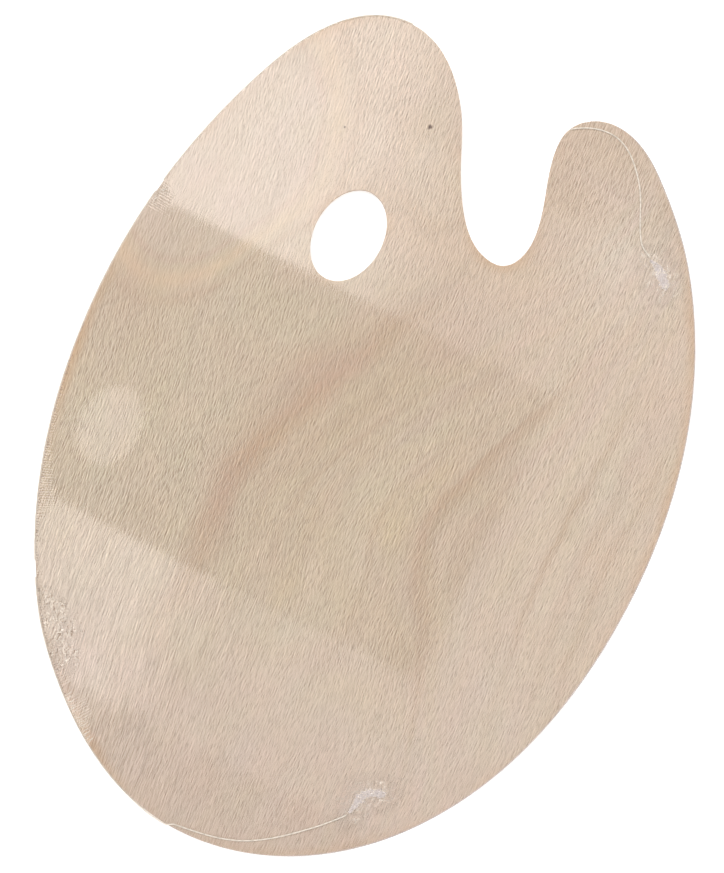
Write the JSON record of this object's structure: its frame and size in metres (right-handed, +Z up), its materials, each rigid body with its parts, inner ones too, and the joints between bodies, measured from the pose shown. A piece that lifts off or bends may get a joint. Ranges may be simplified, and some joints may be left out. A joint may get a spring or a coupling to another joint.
{
  "type": "mixing palette",
  "caption": "Oval flat plywood mixing palette with an oval thumb hole and a finger notch at one end, sealed in clear shrink film.",
  "frame": {"origin": "middle of the bounding box in plan, on the surface that the palette lies on", "axes": "+Z up out of the painting face; +Y along the board's length and the wood grain, towards the finger notch; +X towards the small lobe beyond the notch"},
  "size_m": [0.2987, 0.4009, 0.0043],
  "materials": {
    "face_veneer": "bare sanded light hardwood, fine dark pores along the length",
    "core_veneer": "bare cross-grained veneer seen at the cut edge",
    "glue_line": "cured resin glue, brown, seen at the cut edge",
    "shrink_film": "clear glossy film",
    "film_weld": "whitish melted bead",
    "bunched_film": "frosted bunched film"
  },
  "bodies": {
    "root": {"film_back": "shrink_film", "back_veneer": "face_veneer", "back_glue_line": "glue_line", "core_veneer": "core_veneer", "front_glue_line": "glue_line", "front_veneer": "face_veneer", "film_front": "shrink_film", "film_weld_top": "film_weld", "film_weld_left": "film_weld", "film_weld_bottom": "film_weld", "corner_gather_right": "bunched_film", "corner_gather_bottom": "bunched_film", "corner_crumple_left": "bunched_film", "corner_crumple_upper": "bunched_film"}
  },
  "joints": []
}
